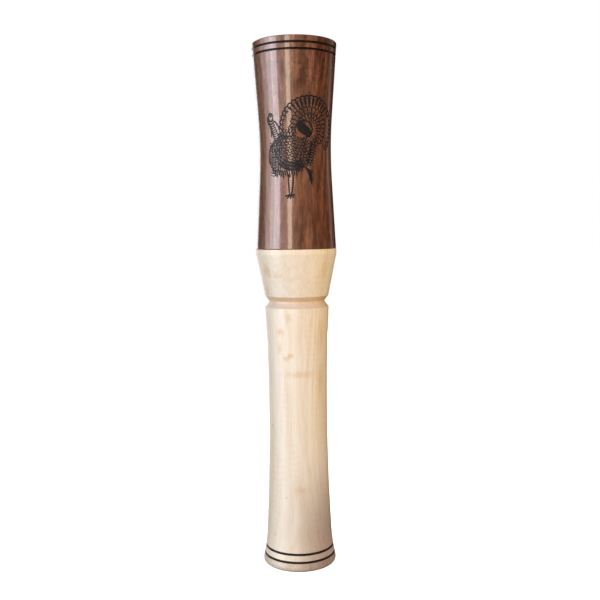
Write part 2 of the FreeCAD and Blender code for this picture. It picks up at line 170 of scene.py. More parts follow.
class Graph:
    """A material's node tree, its Principled shader and the position on the piece in millimetres."""

    def __init__(self, name: str) -> None:
        """Makes an empty material.

        Args:
            name: the material's name.
        """
        self.material = bpy.data.materials.new(name)
        self.material.use_nodes = True
        self.tree = self.material.node_tree
        self.shader = next(n for n in self.tree.nodes if n.type == "BSDF_PRINCIPLED")
        where = self.node("ShaderNodeTexCoord", {}, {}).outputs["Object"]
        scaled = {"Vector": where, "Scale": 1 / MM}
        self.position = self.node("ShaderNodeVectorMath", {"operation": "SCALE"}, scaled).outputs["Vector"]
        parts = self.node("ShaderNodeSeparateXYZ", {}, {"Vector": self.position}).outputs
        self.x, self.y, self.z = (Signal(self, part) for part in parts)

    def node(self, kind: str, settings: dict[str, object], sockets: dict[str, object]) -> bpy.types.Node:
        """Adds a node.

        Args:
            kind: the node's type.
            settings: its own settings, which are set first. A ramp's stops are under "stops".
            sockets: the value, link or Signal for each input, by the input's identifier.

        Returns:
            The node.
        """
        made = self.tree.nodes.new(kind)
        for key, setting in settings.items():
            if key == "stops":
                self._set_stops(made.color_ramp, setting)
            else:
                setattr(made, key, setting)
        for key, content in sockets.items():
            self.feed(made, key, content)
        return made

    def _set_stops(self, ramp: bpy.types.ColorRamp, stops: list[tuple[float, Colour]]) -> None:
        """Gives a colour ramp its stops.

        Args:
            ramp: the ramp.
            stops: the place and the colour of each.
        """
        while len(ramp.elements) < len(stops):
            ramp.elements.new(1.0)
        for element, (place, colour) in zip(ramp.elements, stops):
            element.position = place
            element.color = (*colour, 1.0)

    def feed(self, node: bpy.types.Node, key: str, content: object) -> None:
        """Sets or links one input of a node.

        Args:
            node: the node.
            key: the input's identifier.
            content: a Signal, a socket or a plain value.
        """
        target = next(s for s in node.inputs if s.identifier == key)
        if isinstance(content, Signal):
            content = content.socket
        if isinstance(content, bpy.types.NodeSocket):
            self.tree.links.new(content, target)
        elif isinstance(content, tuple) and len(content) == 3 and target.type == "RGBA":
            target.default_value = (*content, 1.0)
        else:
            target.default_value = content

    def value(self, kind: str, settings: dict[str, object], sockets: dict[str, object]) -> Signal:
        """Adds a node and returns its first output that is in use."""
        made = self.node(kind, settings, sockets)
        return Signal(self, next(s for s in made.outputs if s.enabled))

    def grain(self, across: float, along: float, detail: float = 2.0, rough: float = 0.5,
              twist: float = 0.0, seed: float = 0.0) -> Signal:
        """Noise that is drawn out along the axis.

        Args:
            across: the noise's size across the axis, in millimetres.
            along: its size along the axis, in millimetres.
            detail: how many finer layers it has.
            rough: how strong the finer layers are.
            twist: how much it is distorted.
            seed: moves it, so that two are unlike.

        Returns:
            The noise, from 0 to 1.
        """
        place = self.stretched(across, along, seed)
        sockets = {"Vector": place, "Scale": 1.0, "Detail": detail, "Roughness": rough, "Distortion": twist}
        return self.value("ShaderNodeTexNoise", {}, sockets)

    def cells(self, across: float, along: float, seed: float = 0.0) -> Signal:
        """How far it is to the nearest of many scattered points, in cells of that size."""
        place = self.stretched(across, along, seed)
        return self.value("ShaderNodeTexVoronoi", {}, {"Vector": place, "Scale": 1.0})

    def stretched(self, across: float, along: float, seed: float) -> bpy.types.NodeSocket:
        """The position, in units of a size across the axis and a size along it.

        Args:
            across: the size across the axis, in millimetres.
            along: the size along it, in millimetres.
            seed: moves the pattern that reads the position.

        Returns:
            The scaled position.
        """
        squeeze = {"Vector": self.position, "Vector_001": (1 / across, 1 / across, 1 / along)}
        squeezed = self.node("ShaderNodeVectorMath", {"operation": "MULTIPLY"}, squeeze).outputs["Vector"]
        move = {"Vector": squeezed, "Vector_001": (seed, 1.7 * seed, 0.6 * seed)}
        return self.node("ShaderNodeVectorMath", {"operation": "ADD"}, move).outputs["Vector"]

    def ramp(self, factor: Signal, stops: list[tuple[float, Colour]]) -> bpy.types.NodeSocket:
        """A colour ramp on a value."""
        return self.node("ShaderNodeValToRGB", {"stops": stops}, {"Fac": factor}).outputs["Color"]

    def mix(self, factor: "float | Signal", first: object, second: object,
            blend: str = "MIX") -> bpy.types.NodeSocket:
        """Two colours mixed.

        Args:
            factor: how much of the second there is.
            first: the first colour.
            second: the second colour.
            blend: the way to mix.

        Returns:
            The mixed colour.
        """
        settings = {"data_type": "RGBA", "blend_type": blend}
        sockets = {"Factor_Float": factor, "A_Color": first, "B_Color": second}
        made = self.node("ShaderNodeMix", settings, sockets)
        return next(s for s in made.outputs if s.identifier == "Result_Color")

    def bump(self, height: Signal, depth_mm: float, strength: float = 1.0) -> bpy.types.NodeSocket:
        """A bumped normal from a height between 0 and 1."""
        sockets = {"Height": height, "Distance": depth_mm * MM, "Strength": strength}
        return self.node("ShaderNodeBump", {}, sockets).outputs["Normal"]

    def radius(self) -> Signal:
        """How far the point is from the axis, in millimetres."""
        return self.x.length_with(self.y)

    def finish(self, **inputs: object) -> bpy.types.Material:
        """Sets the shader's own inputs.

        Args:
            inputs: the value or link for each input, with an underscore for each space in its name.

        Returns:
            The material.
        """
        names = {"ior": "IOR", "specular_ior_level": "Specular IOR Level"}
        for key, content in inputs.items():
            self.feed(self.shader, names.get(key, key.replace("_", " ").title()), content)
        return self.material


# --- finishes ---


@dataclass(frozen=True)
class BurnedLines:
    """Lines scorched round a turned piece with a wire."""

    heights: tuple[float, ...]
    half_width: float = 0.46
    blur: tuple[float, float] = (0.14, 0.10)
    least_radius: float = 12.0
    char: Colour = (0.014, 0.008, 0.005)

    def mask(self, graph: Graph) -> Signal:
        """1 on the lines and 0 elsewhere, with slightly uneven edges.

        Args:
            graph: the material that the lines are in.

        Returns:
            The mask.
        """
        level = graph.z + (graph.grain(1.3, 1.3, seed=4.0) - 0.5) * 0.14
        ends = (self.half_width + self.blur[0], self.half_width - self.blur[1])
        lines = [abs(level - height).step(*ends) for height in self.heights]
        found = lines[0]
        for line in lines[1:]:
            found = found.larger(line)
        return found * graph.radius().step(self.least_radius - 0.2, self.least_radius)


@dataclass(frozen=True)
class Lacquer:
    """Clear gloss over wood, which the drilled bores don't have."""

    roughness: float = 0.36
    thickness: float = 1.0
    coat_roughness: float = 0.10
    bare_roughness: float = 0.62
    bore_radius: float = 10.2

    def cover(self, graph: Graph) -> Signal:
        """1 where the lacquer is and 0 in the bores."""
        return graph.radius().step(self.bore_radius - 0.5, self.bore_radius + 0.3)

    def wood_roughness(self, cover: Signal) -> Signal:
        """How rough the wood is: smoother where the lacquer covers it."""
        return self.bare_roughness - cover * (self.bare_roughness - self.roughness)


@dataclass(frozen=True)
class Walnut:
    """Reddish heartwood with fine mottling, from a blank whose growth rings lean a little from the axis."""

    lacquer: Lacquer
    burns: BurnedLines
    mouth: float
    figure_drop: float = 44.0
    figure_full: float = 10.0
    patches_full: float = 14.0
    dark: Colour = (0.052, 0.020, 0.011)
    brown: Colour = (0.112, 0.045, 0.024)
    warm: Colour = (0.202, 0.086, 0.047)
    pale: Colour = (0.315, 0.168, 0.106)

    def tone(self, graph: Graph) -> Signal:
        """How pale the wood is, from growth rings, streaks, fine fibres, the figure near the mouth and
        painted shade that darkens the +X side.

        Args:
            graph: the material.

        Returns:
            The tone, mostly between 0.2 and 0.8.
        """
        sway = graph.grain(12, 34, detail=2, seed=2.0) - 0.5
        across = graph.x + sway * 7
        depth = graph.y - graph.z * 0.16 + 60
        rings = (across.length_with(depth) * 2.1 + graph.grain(2.6, 22, seed=7.0) * 3).sine()
        wide = graph.grain(5.5, 60, detail=2, rough=0.55, seed=1.0)
        fine = graph.grain(0.55, 8, detail=4, rough=0.7, seed=3.0)
        mottle = graph.grain(1.3, 3.0, detail=3, rough=0.65, twist=0.8, seed=11.0) - 0.5
        figured = graph.z.step(self.mouth - self.figure_drop, self.mouth - self.figure_full)
        # Painted shade: the tone is lowered towards +X, which darkens that side of the barrel.
        painted_side_shade = graph.x.step(0.0, 14.0)
        lively = wide * 0.46 + rings * 0.035 + (fine - 0.5) * (0.56 - figured * 0.20) + 0.28
        return lively + mottle * (0.30 + figured * 0.34) - painted_side_shade * 0.10 - figured * 0.03

    def make(self) -> bpy.types.Material:
        """Builds the material.

        Returns:
            The material.
        """
        graph = Graph("walnut")
        stops = [(0.28, self.dark), (0.42, self.brown), (0.56, self.warm), (0.74, self.pale)]
        wood = graph.ramp(self.tone(graph), stops)
        red = graph.grain(3.4, 52, detail=2, seed=23.0).step(0.42, 0.60)
        patches = graph.grain(1.7, 3.6, detail=2, twist=0.6, seed=31.0).step(0.46, 0.62)
        high = graph.z.step(self.mouth - self.figure_drop, self.mouth - self.patches_full)
        red = red.larger(patches * high)
        wood = graph.mix(red * 0.62, wood, (1.0, 0.77, 0.63), "MULTIPLY")
        streak = graph.grain(1.2, 46, detail=2, seed=19.0).step(0.60, 0.74)
        wood = graph.mix(streak * 0.46, wood, self.dark)
        open_grain = graph.grain(2.0, 14, seed=6.0).step(0.40, 0.56)
        pores = graph.cells(0.34, 3.6, seed=5.0).step(0.30, 0.12) * open_grain
        wood = graph.mix(pores * 0.6, wood, (0.02, 0.009, 0.006))
        burned = self.burns.mask(graph)
        cover = self.lacquer.cover(graph)
        return graph.finish(
            base_color=graph.mix(burned, wood, self.burns.char),
            roughness=self.lacquer.wood_roughness(cover),
            coat_weight=cover * (1 - burned * 0.85) * self.lacquer.thickness,
            coat_roughness=self.lacquer.coat_roughness,
            normal=graph.bump(1 - pores, 0.05, 0.4),
        )


@dataclass(frozen=True)
class Stain:
    """A soft natural mark in the maple: a pin knot, a fleck or a mineral stain."""

    turn: float
    height: float
    across: float
    along: float
    strength: float

    def mask(self, graph: Graph, blotch: Signal) -> Signal:
        """1 at the mark's middle, fading unevenly to 0 at its edge.

        Args:
            graph: the maple.
            blotch: noise that breaks the mark up.

        Returns:
            The mask.
        """
        angle = math.radians(self.turn)
        reach = graph.radius()
        side = (graph.x - reach * math.sin(angle)) * (1 / self.across)
        front = (graph.y + reach * math.cos(angle)) * (1 / self.across)
        up = (graph.z - self.height) * (1 / self.along)
        away = side.length_with(front).length_with(up)
        return (away + (blotch - 0.5) * 1.6).step(1.0, 0.1) * self.strength


@dataclass(frozen=True)
class Maple:
    """Pale close-grained wood with thin growth lines, faint curl and a few soft stains, with painted shade
    and warm light on its +X side and painted shade in the lanyard groove.
    """

    lacquer: Lacquer
    burns: BurnedLines
    groove: float
    groove_width: float = 4.6
    cream: Colour = (0.800, 0.712, 0.615)
    straw: Colour = (0.750, 0.620, 0.485)
    tan: Colour = (0.660, 0.440, 0.235)
    golden: Colour = (0.640, 0.400, 0.180)
    stains: tuple[Stain, ...] = (
        Stain(-32, 97.0, 2.6, 2.0, 0.60),
        Stain(-36, 90.5, 1.8, 3.2, 0.50),
        Stain(-22, 86.5, 2.2, 1.6, 0.60),
        Stain(-13, 87.5, 2.0, 1.5, 0.60),
        Stain(-15, 102.5, 2.0, 2.6, 0.40),
        Stain(6, 80.0, 8.5, 2.4, 0.42),
        Stain(-52, 121.0, 3.6, 3.6, 0.60),
        Stain(-62, 113.5, 2.2, 4.0, 0.50),
        Stain(-30, 119.5, 3.0, 2.0, 0.30),
        Stain(48, 122.0, 2.2, 6.0, 0.35),
        Stain(50, 95.0, 3.2, 8.0, 0.36),
        Stain(48, 77.0, 3.2, 9.0, 0.36),
        Stain(2, 33.0, 3.6, 2.6, 0.40),
        Stain(-24, 30.0, 0.8, 0.7, 0.60),
        Stain(-60, 58.4, 0.9, 0.9, 0.60),
        Stain(-48, 14.0, 1.0, 1.2, 0.45),
        Stain(150, 72.4, 2.4, 2.2, 0.60),
        Stain(118, 41.4, 1.6, 1.4, 0.55),
    )

    def in_groove(self, graph: Graph, low: float, high: float) -> Signal:
        """1 in a part of the lanyard groove and 0 outside it.

        Args:
            graph: the material.
            low: where the part starts, from the groove's middle.
            high: where it ends.

        Returns:
            The mask.
        """
        above = graph.z.step(self.groove + low - 0.2, self.groove + low + 0.2)
        return above * graph.z.step(self.groove + high + 0.2, self.groove + high - 0.2)

    def tone(self, graph: Graph) -> Signal:
        """How dark the wood is, from growth lines, broad bands, fine fibres and painted shade that darkens
        the +X side.

        Args:
            graph: the material.

        Returns:
            The tone, mostly between 0.2 and 0.8.
        """
        sway = graph.grain(16, 70, detail=1, seed=2.5) - 0.5
        across = graph.x + sway * 4 - graph.z * 0.02
        reach = across.length_with(graph.y - 34)
        lines = (reach * 6.6 + graph.grain(5, 60, seed=8.0) * 5).sine()
        present = graph.grain(5, 50, detail=1, seed=15.0).step(0.35, 0.65)
        wide = graph.grain(6, 80, detail=2, seed=1.5)
        fine = graph.grain(0.42, 9, detail=4, rough=0.65, seed=3.5)
        # Painted shade: the tone rises towards +X, which makes that side darker and more golden.
        side = graph.x.step(-12.0, 13.0)
        return wide * 0.42 + lines * present * 0.08 + fine * 0.74 + side * 0.10 - 0.19

    def make(self) -> bpy.types.Material:
        """Builds the material.

        Returns:
            The material.
        """
        graph = Graph("maple")
        wood = graph.ramp(self.tone(graph), [(0.30, self.cream), (0.52, self.straw), (0.80, self.tan)])
        waves = (graph.z * 2.6 + graph.grain(3, 12, detail=2, seed=9.0) * 12).sine() * 0.5 + 0.5
        curl = waves * graph.grain(7, 26, detail=1, seed=12.0).step(0.46, 0.62)
        wood = graph.mix(curl * 0.14, wood, self.tan)
        rayed = graph.grain(7, 20, seed=14.0).step(0.50, 0.62)
        flecks = graph.cells(0.8, 1.9, seed=6.5).step(0.22, 0.08) * rayed
        wood = graph.mix(flecks * 0.30, wood, self.tan)
        blotch = graph.grain(1.4, 2.2, detail=3, rough=0.6, seed=21.0)
        for stain in self.stains:
            wood = graph.mix(stain.mask(graph, blotch), wood, self.golden)
        # Painted shade: the +X side of the insert is darkened towards the foot.
        painted_shade_lower_right = graph.x.step(-8.0, 11.0) * graph.z.step(50.0, 14.0)
        wood = graph.mix(painted_shade_lower_right, wood, (0.60, 0.55, 0.57), "MULTIPLY")
        specks = graph.grain(0.7, 0.7, detail=3, rough=0.7, seed=27.0).step(0.40, 0.62)
        worn = graph.z.step(3.9, 3.2) * (0.55 + specks * 0.45)
        wood = graph.mix(worn, wood, (0.70, 0.66, 0.64), "MULTIPLY")
        # Painted warm light: a golden tint on the +X side above the foot.
        painted_warm_light = graph.x.step(2.0, 12.0) * graph.z.step(40.0, 62.0)
        wood = graph.mix(painted_warm_light, wood, (1.0, 0.97, 0.80), "MULTIPLY")
        # Painted shade in the lanyard groove: its lower wall is greyed and its upper wall is darkened to
        # orange.
        half = self.groove_width / 2
        wood = graph.mix(self.in_groove(graph, -half, 0.0), wood, (0.80, 0.76, 0.78), "MULTIPLY")
        wood = graph.mix(self.in_groove(graph, 0.0, half), wood, (0.97, 0.82, 0.67), "MULTIPLY")
        burned = self.burns.mask(graph)
        cover = self.lacquer.cover(graph)
        rough = self.lacquer.wood_roughness(cover)
        return graph.finish(
            base_color=graph.mix(burned, wood, self.burns.char),
            roughness=rough + burned * (1 - rough),
            specular_ior_level=0.3,
            coat_weight=cover * (1 - burned * 0.9) * self.lacquer.thickness,
            coat_roughness=self.lacquer.coat_roughness,
            normal=graph.bump(curl * 0.6 - flecks * 0.4, 0.02, 0.3),
        )


@dataclass(frozen=True)
class BoardPlastic:
    """Black plastic, turned on the outside and milled on the face."""

    black: Colour = (0.016, 0.016, 0.018)
    worn: Colour = (0.045, 0.045, 0.048)

    def make(self) -> bpy.types.Material:
        """Builds the material.

        Returns:
            The material.
        """
        graph = Graph("board_plastic")
        tool = (graph.z * 31 + graph.grain(3, 3, seed=2.0) * 2).sine() * 0.5 + 0.5
        dust = graph.grain(0.7, 0.7, detail=4, rough=0.7, seed=5.0)
        scuffs = dust.step(0.55, 0.75)
        return graph.finish(
            base_color=graph.mix(scuffs * 0.6, self.black, self.worn),
            roughness=0.30 + scuffs * 0.22,
            normal=graph.bump(tool * 0.6 + dust * 0.4, 0.02, 0.5),
        )


@dataclass(frozen=True)
class ReedFilm:
    """Milky polyester sheet, cut with a knife."""

    milk: Colour = (0.600, 0.610, 0.590)
    edge: Colour = (0.740, 0.745, 0.730)

    def make(self) -> bpy.types.Material:
        """Builds the material.

        Returns:
            The material.
        """
        graph = Graph("reed_film")
        haze = graph.grain(1.8, 9, detail=3, seed=3.0)
        rub = graph.grain(0.2, 5, detail=2, seed=9.0).step(0.56, 0.70)
        return graph.finish(
            base_color=graph.mix(haze, self.milk, self.edge),
            roughness=0.20 + rub * 0.22,
            ior=1.58,
            transmission_weight=0.18,
            normal=graph.bump(rub, 0.006, 0.4),
        )


@dataclass(frozen=True)
class Cork:
    """Natural cork: packed grains with darker seams and small pits."""

    pale: Colour = (0.610, 0.395, 0.220)
    tan: Colour = (0.430, 0.250, 0.125)
    seam: Colour = (0.120, 0.055, 0.025)

    def make(self) -> bpy.types.Material:
        """Builds the material.

        Returns:
            The material.
        """
        graph = Graph("cork")
        grains = graph.cells(0.85, 0.85, seed=2.0)
        speckle = graph.grain(0.35, 0.35, detail=4, rough=0.7, seed=4.0)
        body = graph.ramp(speckle * 0.7 + grains * 0.4, [(0.30, self.pale), (0.75, self.tan)])
        pits = graph.cells(0.55, 0.9, seed=8.0).step(0.22, 0.08)
        seams = grains.step(0.62, 0.86)
        marks = pits.larger(seams * 0.6)
        return graph.finish(
            base_color=graph.mix(marks * 0.85, body, self.seam),
            roughness=0.86,
            specular_ior_level=0.3,
            normal=graph.bump((1 - marks) * 0.8 + speckle * 0.2, 0.10, 0.8),
        )


@dataclass(frozen=True)
class RingRubber:
    """Smooth black rubber with a faint bloom of dust and grease."""

    black: Colour = (0.012, 0.012, 0.013)
    bloom: Colour = (0.050, 0.048, 0.046)

    def make(self) -> bpy.types.Material:
        """Builds the material.

        Returns:
            The material.
        """
        graph = Graph("ring_rubber")
        dust = graph.grain(0.6, 0.6, detail=3, seed=3.0)
        film = dust.step(0.5, 0.8)
        return graph.finish(
            base_color=graph.mix(film, self.black, self.bloom),
            roughness=0.34 + film * 0.2,
            normal=graph.bump(dust, 0.01, 0.3),
        )


@dataclass(frozen=True)
class BurnedMark:
    """The char of the engraved strokes, with brown showing through where the burn is light."""

    char: Colour = (0.009, 0.009, 0.011)
    brown: Colour = (0.034, 0.023, 0.020)

    def make(self) -> bpy.types.Material:
        """Builds the material.

        Returns:
            The material.
        """
        graph = Graph("burned_mark")
        light = graph.grain(0.5, 0.5, detail=4, rough=0.7, seed=3.0).step(0.45, 0.72)
        return graph.finish(
            base_color=graph.mix(light, self.char, self.brown),
            roughness=0.60,
            specular_ior_level=0.22,
            coat_weight=0.12,
            coat_roughness=0.15,
            normal=graph.bump(light, 0.02, 0.5),
        )


# --- pieces ---


def height_of(node: str, end: int) -> float:
    """The lowest (0) or highest (1) level of a CAD node, in millimetres."""
    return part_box(node)[end][2] / MM


@dataclass
class TurnedPieces:
    """The pieces that are shown as they were cut: each only gets its finish."""

    frame: dict
    gloss: Lacquer = field(default_factory=Lacquer)
    satin: Lacquer = field(default_factory=lambda: Lacquer(0.50, 0.45, 0.34))
    foot_burns: tuple[float, float] = (4.0, 7.1)
    mouth_burns: tuple[float, float] = (2.6, 5.1)
    lanyard_drop: float = 21.1

    def dress(self) -> list[bpy.types.Object]:
        """Gives each turned or moulded piece its material.

        Returns:
            The pieces.
        """
        joint, mouth = height_of("barrel", 0), height_of("barrel", 1)
        on_foot = BurnedLines(heights=self.foot_burns)
        at_mouth = BurnedLines(heights=tuple(mouth - drop for drop in self.mouth_burns), half_width=0.42)
        board = BoardPlastic().make()
        rubber = RingRubber().make()
        finishes = {
            "insert": Maple(self.satin, on_foot, joint - self.lanyard_drop).make(),
            "barrel": Walnut(self.gloss, at_mouth, mouth).make(),
            "tone_board": board,
            "wedge": Cork().make(),
            "tenon_ring_lower": rubber,
            "tenon_ring_upper": rubber,
            "board_ring_lower": rubber,
            "board_ring_upper": rubber,
        }
        dressed = []
        for name, material in finishes.items():
            piece = self.frame["nodes"][name]
            piece.data.materials.clear()
            piece.data.materials.append(material)
            dressed.append(piece)
        return dressed


class Pen(Enum):
    """How wide an engraved stroke is, in millimetres."""

    FINE = 0.32
    MEDIUM = 0.45
    BOLD = 0.64


@dataclass(frozen=True)
class Stroke:
    """One engraved line on the flat drawing, in millimetres."""

    points: list[Point]
    pen: Pen = Pen.MEDIUM


def along_arc(middle: Point, radius: float, start: float, end: float, count: int = 9,
              squash: float = 1.0) -> list[Point]:
    """Points along an arc.

    Args:
        middle: the arc's middle.
        radius: its radius.
        start: where it starts, in degrees up from the right.
        end: where it ends.
        count: how many points there are.
        squash: how much flatter than a circle it is.

    Returns:
        The points.
    """
    found = []
    for n in range(count):
        angle = math.radians(start + (end - start) * n / (count - 1))
        found.append((middle[0] + radius * math.cos(angle), middle[1] + radius * squash * math.sin(angle)))
    return found


def along_bow(first: Point, last: Point, sag: float, count: int = 8) -> list[Point]:
    """Points along a shallow bow from first to last that stands out by sag on its left side.

    Args:
        first: where the bow starts.
        last: where it ends.
        sag: how far it stands out at its middle.
        count: how many points there are.

    Returns:
        The points.
    """
    across = (first[1] - last[1], last[0] - first[0])
    span = math.hypot(*across)
    found = []
    for n in range(count):
        t = n / (count - 1)
        out = 4 * sag * t * (1 - t) / span
        found.append((first[0] + (last[0] - first[0]) * t + across[0] * out,
                      first[1] + (last[1] - first[1]) * t + across[1] * out))
    return found


@dataclass
class Engraving:
    """A strutting game bird burned into the barrel, drawn flat and wrapped round it.

    The drawing's origin is under the bird's foot, with its first axis round the barrel towards +X and its
    second axis up.
    """

    barrel: bpy.types.Object
    foot_drop: float = 61.8
    wrap_radius: float = 14.6
    proud: float = 0.22

    fan: Point = (6.0, 27.6)
    fan_rim: float = 11.9
    fan_ends: Point = (184.0, -46.0)
    feathers: int = 25
    shoulder: Point = (2.6, 26.6)
    covert_end: float = -72.0
    body: Point = (-0.5, 19.2)
    body_reach: Point = (7.4, 8.4)
    scale_rows: int = 12
    scale_size: Point = (1.45, 1.18)
    scales_from: float = 140.0
    scales_spread: float = 210.0

    def strokes(self) -> list[Stroke]:
        """The whole drawing."""
        return [*self.tail(), *self.back(), *self.plumage(), *self.near_wing(), *self.far_wing(),
                *self.neck(), *self.head(), *self.skirt(), *self.leg()]

    def out(self, middle: Point, turn: float, away: float) -> Point:
        """A point that far from a middle, in that direction."""
        angle = math.radians(turn)
        return (middle[0] + away * math.cos(angle), middle[1] + away * math.sin(angle))

    def plume(self, middle: Point, turn: float, root: float, tip: float, half: float, pen: Pen) -> Stroke:
        """A round-tipped feather that points out from a middle.

        Args:
            middle: the point that the feather spreads from.
            turn: where it points, in degrees up from the right.
            root: how far from the middle it starts.
            tip: how far out it reaches.
            half: half its width at the tip, in degrees.
            pen: how wide the line is.

        Returns:
            Its outline, open at the root.
        """
        side = math.radians(half) * tip
        corner = tip - side
        points = [self.out(middle, turn + half * 0.8, root), self.out(middle, turn + half, corner)]
        for lean in (60, 30, 0, -30, -60):
            bulge = math.radians(lean)
            points.append(self.out(middle, turn + half * math.sin(bulge), corner + side * math.cos(bulge)))
        points += [self.out(middle, turn - half, corner), self.out(middle, turn - half * 0.8, root)]
        return Stroke(points, pen)

    def row(self, ends: Point, count: int) -> list[float]:
        """The directions of a row of feathers, evenly spread between two ends in degrees."""
        step = (ends[1] - ends[0]) / count
        return [ends[0] + step * (n + 0.5) for n in range(count)]

    def tail(self) -> list[Stroke]:
        """The spread tail: long banded feathers behind two rows of shorter coverts.

        Returns:
            Its strokes.
        """
        drawn = []
        half = (self.fan_ends[0] - self.fan_ends[1]) / 2 / self.feathers
        for turn in self.row(self.fan_ends, self.feathers):
            drawn.append(self.plume(self.fan, turn, 7.7, self.fan_rim, half, Pen.BOLD))
            drawn.append(self.plume(self.fan, turn, 8.6, self.fan_rim - 1.1, half * 0.55, Pen.FINE))
        for turn in self.row((self.fan_ends[0], self.covert_end), 18):
            drawn.append(self.plume(self.fan, turn, 5.2, 7.7, 6.7, Pen.MEDIUM))
            drawn.append(Stroke([self.out(self.fan, turn, 5.4), self.out(self.fan, turn, 6.8)], Pen.FINE))
        for turn in self.row((168.0, self.covert_end), 14):
            drawn.append(self.plume(self.fan, turn, 3.6, 5.1, 8.0, Pen.MEDIUM))
        for turn in self.row((160.0, -30.0), 9):
            drawn.append(self.plume(self.fan, turn, 2.0, 3.5, 10.0, Pen.FINE))
        return drawn

    def back(self) -> list[Stroke]:
        """The dark hump of the back, in close hatching.

        Returns:
            Its strokes.
        """
        middle = (self.shoulder[0] + 1.0, self.shoulder[1] + 0.1)
        drawn = [Stroke(along_arc(middle, 3.5, 215, -70, 15, 0.95), Pen.BOLD)]
        for n in range(11):
            level = -2.4 + n * 0.46
            reach = math.sqrt(7.6 - level**2)
            lean = -0.45 * level
            first = (middle[0] - reach + lean, middle[1] + level + 0.5)
            last = (middle[0] + reach + lean, middle[1] + level - 0.6)
            drawn.append(Stroke(along_bow(first, last, 0.4), Pen.BOLD))
        return drawn

    def in_body(self, place: Point) -> bool:
        """Whether a point lies in the oval of the body."""
        parts = [(p - m) / r for p, m, r in zip(place, self.body, self.body_reach)]
        return math.hypot(*parts) < 1

    def plumage(self) -> list[Stroke]:
        """The scaled breast and side: rows of small round feathers that spread from the shoulder.

        Returns:
            Its strokes.
        """
        drawn = []
        for line in range(self.scale_rows):
            away = 3.9 + line * self.scale_size[1]
            count = round(math.radians(self.scales_spread) * away / self.scale_size[0])
            half = self.scales_spread / 2 / count
            first = self.scales_from + half * (line % 2)
            for n, turn in enumerate(self.row((first, first + self.scales_spread), count)):
                if self.in_body(self.out(self.shoulder, turn, away - 0.5)):
                    pen = Pen.BOLD if (n + line) % 3 == 0 else Pen.MEDIUM
                    drawn.append(self.plume(self.shoulder, turn, away - 0.9, away, half * 0.92, pen))
                    drawn.append(Stroke([self.out(self.shoulder, turn, away - 1.0),
                                         self.out(self.shoulder, turn, away - 0.45)], Pen.FINE))
        return drawn

    def near_wing(self) -> list[Stroke]:
        """The lowered near wing: long bars across the side, and its covert feathers behind.

        Returns:
            Its strokes.
        """
        drawn = []
        for n in range(7):
            reach = 4.4 + n * 0.52
            pen = Pen.FINE if n % 3 else Pen.BOLD
            drawn.append(Stroke(along_arc((-0.9, 18.2), reach, 218 + n, 322 - 2 * n, 12, 0.92), pen))
        for n in range(10):
            first = (4.6 + 0.22 * n, 14.8 + 0.75 * n)
            last = self.out(first, -48 + n * 9, 2.9)
            drawn.append(Stroke(along_bow(first, last, 0.4), Pen.MEDIUM))
            drawn.append(Stroke(along_bow(first, last, -0.35), Pen.FINE))
        return drawn

    def far_wing(self) -> list[Stroke]:
        """The far wing, a dark barred edge in front of the breast.

        Returns:
            Its strokes.
        """
        drawn = []
        for n in range(8):
            side = -10.9 + n * 0.64
            top = (side + 1.5, 23.9 - 0.14 * (n - 4) ** 2)
            low = (side + 0.5, 11.0 - 0.06 * n + 0.10 * (n - 5) ** 2)
            drawn.append(Stroke(along_bow(top, low, -1.2 + 0.14 * n, 10), Pen.MEDIUM if n % 2 else Pen.BOLD))
        for n in range(13):
            middle = (-9.0 + 0.05 * n, 22.6 - n * 1.03)
            drawn.append(Stroke(along_arc(middle, 1.9, 205, 335, 7, 0.6), Pen.MEDIUM if n % 2 else Pen.FINE))
        return drawn

    def neck(self) -> list[Stroke]:
        """The bent neck with its folds.

        Returns:
            Its strokes.
        """
        drawn = [
            Stroke(along_bow((-6.1, 26.4), (-8.7, 30.4), -0.6), Pen.BOLD),
            Stroke(along_bow((-9.6, 24.0), (-10.8, 29.6), -0.4), Pen.BOLD),
            Stroke(along_bow((-6.3, 26.5), (-1.0, 24.0), -1.3, 10), Pen.MEDIUM),
            Stroke(along_bow((-6.4, 25.4), (-2.2, 23.2), -1.0, 10), Pen.FINE),
        ]
        for n in range(9):
            t = n / 8
            middle = (-7.3 - 2.1 * t, 23.6 + 6.0 * t)
            drawn.append(Stroke(along_arc(middle, 1.25 - 0.35 * t, 140, 400, 9, 0.7), Pen.MEDIUM))
        for n in range(4):
            drawn.append(Stroke(along_arc((-5.9 + 1.3 * n, 24.6 - 0.4 * n), 0.62, 0, 360, 9), Pen.FINE))
        return drawn

    def head(self) -> list[Stroke]:
        """The head: a small oval with an eye, a beak and the wattle under it.

        Returns:
            Its strokes.
        """
        crown = (-9.8, 31.6)
        eye = (crown[0] + 0.1, crown[1] + 0.5)
        brow = (crown[0] - 0.9, crown[1] + 0.6)
        chin = (crown[0] - 0.8, crown[1] - 0.5)
        nape = (crown[0] + 0.5, crown[1] - 0.9)
        return [
            Stroke(along_arc(crown, 1.1, 0, 360, 15, 1.35), Pen.BOLD),
            Stroke(along_arc(eye, 0.26, 0, 360, 8), Pen.BOLD),
            Stroke([brow, (crown[0] - 1.9, crown[1]), chin], Pen.MEDIUM),
            Stroke(along_bow(brow, (crown[0] - 1.5, crown[1] - 2.0), -0.3), Pen.BOLD),
            Stroke(along_bow(chin, (crown[0] - 0.9, crown[1] - 2.9), -0.4), Pen.BOLD),
            Stroke(along_bow(nape, (crown[0] + 0.3, crown[1] - 2.4), 0.3), Pen.MEDIUM),
        ]

